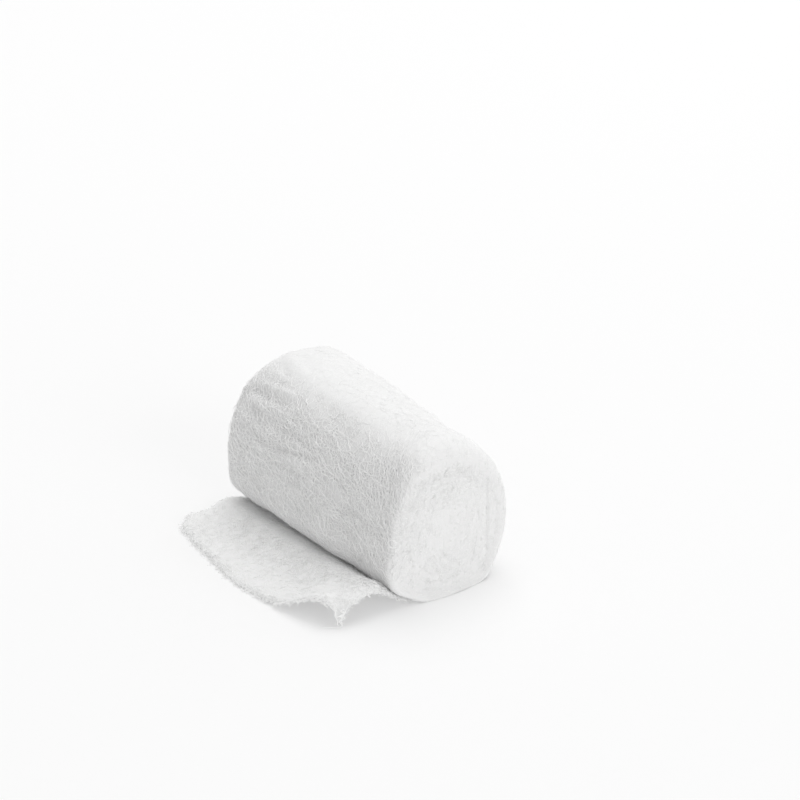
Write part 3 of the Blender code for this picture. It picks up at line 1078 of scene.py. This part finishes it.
@dataclass
class LooseEnd:
    """The strip's end on the surface: its cloth, yarns, frayed cut edge and loose threads."""
    form: SheetForm
    cloth: bpy.types.Material
    yarn: bpy.types.Material
    columns: int = 150
    rows: int = 112
    under_share: float = 0.42
    crinkle: float = 0.13
    crinkle_sizes: Range = (3.0, 1.6)
    crinkle_onset: float = 6.0
    length: float = 53.0
    lowest: float = 0.15
    yarn_seed: int = 41
    warp_pitch: float = 1.6
    warp_step: float = 0.02
    warp_stray: float = 0.3
    warp_wander: Waves = ((0.4, 4.0, 3), (0.7, 25.0, 2))
    warp_rise: Waves = ((0.05, 3.4, 3),)
    weft_pitch: float = 2.4
    weft_step: float = 0.9
    weft_wander: Waves = ((0.008, 4.6, 3), (0.012, 34.0, 2))
    weft_rise: Waves = ((0.05, 3.6, 3),)
    yarn_lifts: Range = (-0.1, 0.1)
    yarn_shares: Range = (0.35, 0.6)
    yarn_taper: float = 0.3
    hump_middle: float = 0.48
    hump_width: float = 0.14
    hump_end: Range = (30.0, 50.0)
    edge_part: Range = (0.9, 0.98)
    margin_part: Range = (-44.0, -50.0)
    margin_start: float = 0.3
    fluff_shares: tuple[float, float, float] = (0.28, 0.7, 0.5)
    tangle_seed: int = 42
    tangle_count: int = 2400
    tangle_shares: Range = (0.5, 1.0)
    tangle_hump: Range = (2.0, 0.14)
    tangle_lift: float = 0.1
    tangle_highest: float = 1.2
    tangle_taper: float = 0.6
    tooth_part: Range = (4.0, 13.0)
    tooth_least: float = 0.25
    fray_seed: int = 43
    edge_strands: int = 8
    edge_step: float = 0.5
    edge_spread: float = 1.8
    edge_swing: Waves = ((0.8, 2.6, 3), (0.7, 7.0, 3))
    edge_sway: Waves = ((0.8, 1.9, 3),)
    edge_last: float = 1.02
    margin_strands: int = 5
    margin_first: float = -0.1
    margin_step: float = 0.4
    margin_inset: float = 0.7
    margin_swing: Waves = ((0.7, 2.6, 3), (0.5, 6.0, 3))
    strand_rise: Waves = ((0.2, 1.7, 3),)
    strand_shares: Range = (0.6, 1.0)
    fray_count: int = 950
    fray_to_edge: float = 0.6
    fray_to_near: float = 0.88
    fray_first: float = 8.0
    fray_root: float = 0.02
    fray_stray: float = 1.4
    fray_shares: Range = (0.5, 1.0)
    fray_taper: float = 0.5
    fray_droop: Range = (-0.25, 0.12)
    droop_bend: float = 1.5
    droop_step: float = 0.5
    corner_threads: tuple[tuple[tuple[float, float, float], ...], ...] = (
        ((-58.4, -54.2, 0.4), (-56.2, -55.6, 0.4), (-53.6, -57.8, 0.4), (-52.2, -58.6, 1.4),
         (-53.2, -58.2, 3.2), (-51.0, -58.8, 4.4), (-53.2, -57.8, 5.4), (-50.8, -58.6, 6.4)),
        ((-54.0, -56.2, 4.6), (-52.6, -57.8, 5.2), (-50.6, -58.2, 6.2), (-52.4, -57.6, 7.4),
         (-50.2, -58.0, 8.0)),
        ((-53.2, -57.2, 1.0), (-53.9, -57.6, 2.6), (-53.0, -58.0, 3.4), (-51.6, -58.1, 4.6),
         (-49.8, -58.2, 7.4)),
    )
    corner_step: float = 0.2
    corner_thickness: float = 1.5
    corner_taper: float = 0.4
    tangle: Curl = Curl(2.0, 7.0, 0.65, 2.7, 0.35, 0.2)
    fray: Curl = Curl(1.0, 3.6, 0.4, 2.2, 0.4, 0.9)

    def make_cloth(self) -> bpy.types.Object:
        """Shapes a thin slab of grid cells into the strip."""
        builder = bmesh.new()
        bmesh.ops.create_grid(builder, x_segments=self.rows, y_segments=self.columns, size=1.0)
        bmesh.ops.solidify(builder, geom=builder.faces[:], thickness=1.0)
        slab = np.array([vertex.co for vertex in builder.verts])
        layer = (np.abs(slab[:, 2]) < 0.5).astype(float)
        run = (slab[:, 0] + 1.0) / 2.0
        out = np.where(run < self.under_share, run / self.under_share - 1.0,
                       (run - self.under_share) / (1.0 - self.under_share))
        along = mix(self.form.near, self.form.far, (slab[:, 1] + 1.0) / 2.0)
        points = self.form.point(out, along, layer)
        full = self.form.edge_fade(out, along) * smooth(out * self.crinkle_onset)
        depth = self.crinkle * crinkle_at(points, *self.crinkle_sizes)
        points[:, 2] = np.maximum(points[:, 2] + depth * full * layer, 0.0)
        return mesh_piece("loose_cloth", builder, points)

    def on_top(self, out: Array, along: Array, lift: Array) -> Array:
        """Finds places on the strip's upper side that keep clear of the floor."""
        along = np.clip(along, self.form.near, self.form.far)
        return self.clear(self.form.point(np.clip(out, -1.0, 1.0), along, 1.0, lift))

    def clear(self, points: Array, rise: Number = 0.0) -> Array:
        """Lifts points, and keeps them clear of the floor."""
        points[:, 2] = np.maximum(points[:, 2] + rise, self.lowest)
        return points

    def make_yarns(self) -> bpy.types.Object:
        """Lays the crossing yarns of the strip's upper side."""
        rng = np.random.default_rng(self.yarn_seed)
        routes = []
        for start in np.arange(self.form.near, self.form.far, self.warp_pitch):
            out = np.arange(-self.warp_step, 1.0, self.warp_step)
            arc = out * self.length
            along = start + rng.normal(0.0, self.warp_stray) + wander(arc, self.warp_wander, rng)
            lift = np.clip(wander(arc, self.warp_rise, rng), *self.yarn_lifts)
            routes.append((out, along, lift, yarn_thickness(rng, self.yarn_shares)))
        for start in np.arange(0.0, 1.0, self.weft_pitch / self.length):
            along = np.arange(self.form.near, self.form.far, self.weft_step)
            out = start + wander(along, self.weft_wander, rng)
            lift = np.clip(wander(along, self.weft_rise, rng), *self.yarn_lifts)
            routes.append((out, along, lift, yarn_thickness(rng, self.yarn_shares)))
        return lay("loose_yarns", self.on_top, routes, self.yarn_taper)

    def fluff_share(self, out: Array, along: Array) -> Array:
        """Finds how coarse the fluff is on the strip: most along its hump and by the cut edge."""
        on_hump = np.exp(-(((out - self.hump_middle) / self.hump_width) ** 2))
        on_hump = on_hump * (1.0 - ramp(along, *self.hump_end))
        on_margin = ramp(along, *self.margin_part) * smooth(out / self.margin_start)
        least, more_on_hump, more_by_edge = self.fluff_shares
        by_edge = np.maximum(ramp(out, *self.edge_part), on_margin)
        return least + more_on_hump * on_hump + more_by_edge * by_edge

    def make_tangle(self) -> bpy.types.Object:
        """Strews crimped yarn pieces on the strip's upper side."""
        rng = np.random.default_rng(self.tangle_seed)
        routes = []
        places = PLACES_PER_THREAD * self.tangle_count
        outs, alongs = rng.uniform(0.0, 1.0, places), rng.uniform(self.form.near, self.form.far, places)
        chosen = likeliest(rng, self.fluff_share(outs, alongs), self.tangle_count)
        for first, start in zip(outs[chosen], alongs[chosen]):
            trace = self.tangle.trace(rng, rng.uniform(0.0, FULL_TURN))
            out, along = first + trace[:, 0] / self.length, start + trace[:, 1]
            coarse = self.fluff_share(out, along)
            lift = self.tangle_lift + rng.gamma(*self.tangle_hump) * arch(len(trace))
            lift = np.clip(lift, 0.0, self.tangle_highest) * coarse
            routes.append((out, along, lift, yarn_thickness(rng, self.tangle_shares, coarse)))
        return lay("loose_tangle", self.on_top, routes, self.tangle_taper)

    def tooth_share(self, along: Array) -> Array:
        """Finds how freely the cut edge frays: hardly where it curls down to the near corner."""
        return mix(self.tooth_least, 1.0, ramp(along - self.form.near, *self.tooth_part))

    def add_strands(self, threads: Threads, rng: Random) -> None:
        """Runs crinkled strands along the cut edge and the near selvedge, and the corner's threads."""
        near = self.form.near
        for strand in range(self.edge_strands):
            along = np.arange(near, self.form.far, self.edge_step)
            swing = wander(along, self.edge_swing, rng) - self.edge_spread * strand / self.edge_strands
            out = np.minimum(1.0 + swing * self.tooth_share(along) / self.length, self.edge_last)
            path = self.form.point(out, along + wander(along, self.edge_sway, rng), 1.0)
            path = self.clear(path, wander(along, self.strand_rise, rng))
            threads.add(path, yarn_thickness(rng, self.strand_shares))
        for _ in range(self.margin_strands):
            out = np.arange(self.margin_first, 1.0, self.margin_step / self.length)
            arc = out * self.length
            along = near + self.margin_inset + wander(arc, self.margin_swing, rng)
            path = self.form.point(out, np.maximum(along, near), 1.0)
            path[:, 1] = path[:, 1] + np.minimum(along - near, 0.0)
            path = self.clear(path, wander(arc, self.strand_rise, rng))
            threads.add(path, yarn_thickness(rng, self.strand_shares))
        for rows in self.corner_threads:
            path = read_rows(np.array(rows), np.arange(0.0, len(rows) - 1.0, self.corner_step), closed=False)
            threads.add(path, YARN_THICKNESS * self.corner_thickness, self.corner_taper)

    def make_fray(self) -> bpy.types.Object:
        """Lets curled yarn ends hang from the cut edge and stand off both selvedges."""
        rng = np.random.default_rng(self.fray_seed)
        threads = Threads("frayed_edge")
        self.add_strands(threads, rng)
        near, far = self.form.near, self.form.far
        for _ in range(self.fray_count):
            spot = rng.random()
            layer = rng.random() ** 0.5
            if spot < self.fray_to_edge:
                out, along = 1.0, rng.uniform(near + self.fray_first, far)
            else:
                out, along = rng.uniform(-1.0, 1.0), near if spot < self.fray_to_near else far
            inner_along = along * (1.0 - self.fray_root)
            inner, root = self.form.point(np.array([out - self.fray_root, out]),
                                          np.array([inner_along, along]), layer)
            way = root - inner
            trace = self.fray.trace(rng, math.atan2(way[1], way[0]) + rng.normal(0.0, self.fray_stray))
            bow = np.linspace(0.0, 1.0, len(trace)) ** self.droop_bend
            droop = rng.uniform(*self.fray_droop) * bow * len(trace) * self.droop_step
            path = self.clear(root + np.stack([trace[:, 0], trace[:, 1], droop], 1))
            threads.add(path, yarn_thickness(rng, self.fray_shares), self.fray_taper)
        return threads.build()

    def dress(self) -> None:
        """Builds every piece of the loose end."""
        cloth = self.make_cloth()
        finish_piece(cloth, "loose_end", self.cloth)
        threads = [self.make_yarns(), self.make_tangle(), self.make_fray()]
        for piece in threads:
            finish_piece(piece, "loose_end", self.yarn)


@dataclass(frozen=True)
class Stage:
    """The plain pale floor, the soft studio light and the camera."""
    eye: tuple[float, float, float] = (-486.9, -687.7, 438.7)
    look: tuple[float, float, float] = (26.5, 10.0, 53.4)
    lens: float = 100.0
    sensor: float = 36.0
    floor_half: float = 4.0
    floor_colour: tuple[float, float, float, float] = (0.7, 0.7, 0.7, 1.0)
    floor_roughness: float = 0.9
    floor_glow: float = 0.22
    surroundings: float = 0.71
    lamps: tuple[tuple[str, tuple[float, float, float], float, float], ...] = (
        # name, place, size, power
        ("key", (1.2, 1.0, 3.7), 3.2, 64.0),
        ("fill", (0.4, -4.4, 1.4), 3.0, 39.0),
    )

    def floor(self) -> None:
        """Lays the floor."""
        builder = bmesh.new()
        bmesh.ops.create_grid(builder, x_segments=1, y_segments=1, size=self.floor_half)
        mesh = bpy.data.meshes.new("floor")
        builder.to_mesh(mesh)
        builder.free()
        paint = Paint("floor white")
        for socket, value in (("Base Color", self.floor_colour), ("Roughness", self.floor_roughness),
                              ("Emission Color", WHITE), ("Emission Strength", self.floor_glow)):
            paint.plug(paint.shader.inputs[socket], value)
        mesh.materials.append(paint.material)
        floor = add_object("floor", mesh)

    def lamp(self, name: str, place: tuple[float, float, float], size: float, power: float) -> None:
        """Hangs a square soft light that faces the object, its place in metres and its power in watts."""
        light = bpy.data.lights.new(name, "AREA")
        light.shape = "SQUARE"
        light.size = size
        light.energy = power
        lamp = add_object(name, light)
        lamp.location = place
        lamp.rotation_euler = (-Vector(place)).to_track_quat("-Z", "Y").to_euler()

    def light(self) -> None:
        """Sets the surroundings and the lights."""
        world = bpy.data.worlds.new("studio")
        world.use_nodes = True
        background = world.node_tree.nodes["Background"]
        background.inputs["Color"].default_value = WHITE
        background.inputs["Strength"].default_value = self.surroundings
        bpy.context.scene.world = world
        for name, place, size, power in self.lamps:
            self.lamp(name, place, size, power)
        bpy.context.scene.view_settings.view_transform = "Standard"

    def camera(self) -> None:
        """Sets the camera at the photograph's angle."""
        data = bpy.data.cameras.new("camera")
        data.lens = self.lens
        data.sensor_width = self.sensor
        camera = add_object("camera", data)
        eye = (np.array(self.eye) - ORIGIN) * MM
        look = (np.array(self.look) - ORIGIN) * MM
        camera.location = eye
        camera.rotation_euler = Vector(look - eye).to_track_quat("-Z", "Y").to_euler()
        bpy.context.scene.camera = camera

    def set_up(self) -> None:
        """Builds all of it."""
        self.floor()
        self.light()
        self.camera()


def main() -> None:
    """Dresses the frame piece by piece."""
    logging.basicConfig(level=logging.INFO, format="%(name)s %(message)s")
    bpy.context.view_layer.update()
    Stage().set_up()
    # the wound gauze carries painted shade on the roll's left side
    wound = CottonFinish("wound gauze", colour=(0.87, 0.87, 0.865), shade=(0.82, 0.82, 0.82),
                         soft=0.4, nap_depth=0.16, side_shade_tone=0.85).make()
    loose = CottonFinish("loose gauze", colour=(0.87, 0.87, 0.865), shade=(0.81, 0.81, 0.81),
                         soft=0.5, nap_depth=0.24).make()
    yarn = CottonFinish("gauze yarn", colour=(0.97, 0.97, 0.965), shade=(0.95, 0.95, 0.95),
                        nap_size=0.5, nap_depth=0.03).make()
    fluff = CottonFinish("gauze fluff", colour=(0.96, 0.96, 0.96), shade=(0.93, 0.93, 0.93),
                         nap_size=0.5, nap_depth=0.02).make()
    WoundRoll(RollForm(), wound, yarn, fluff).dress()
    LooseEnd(SheetForm(), loose, yarn).dress()


if __name__ == "__main__":
    main()
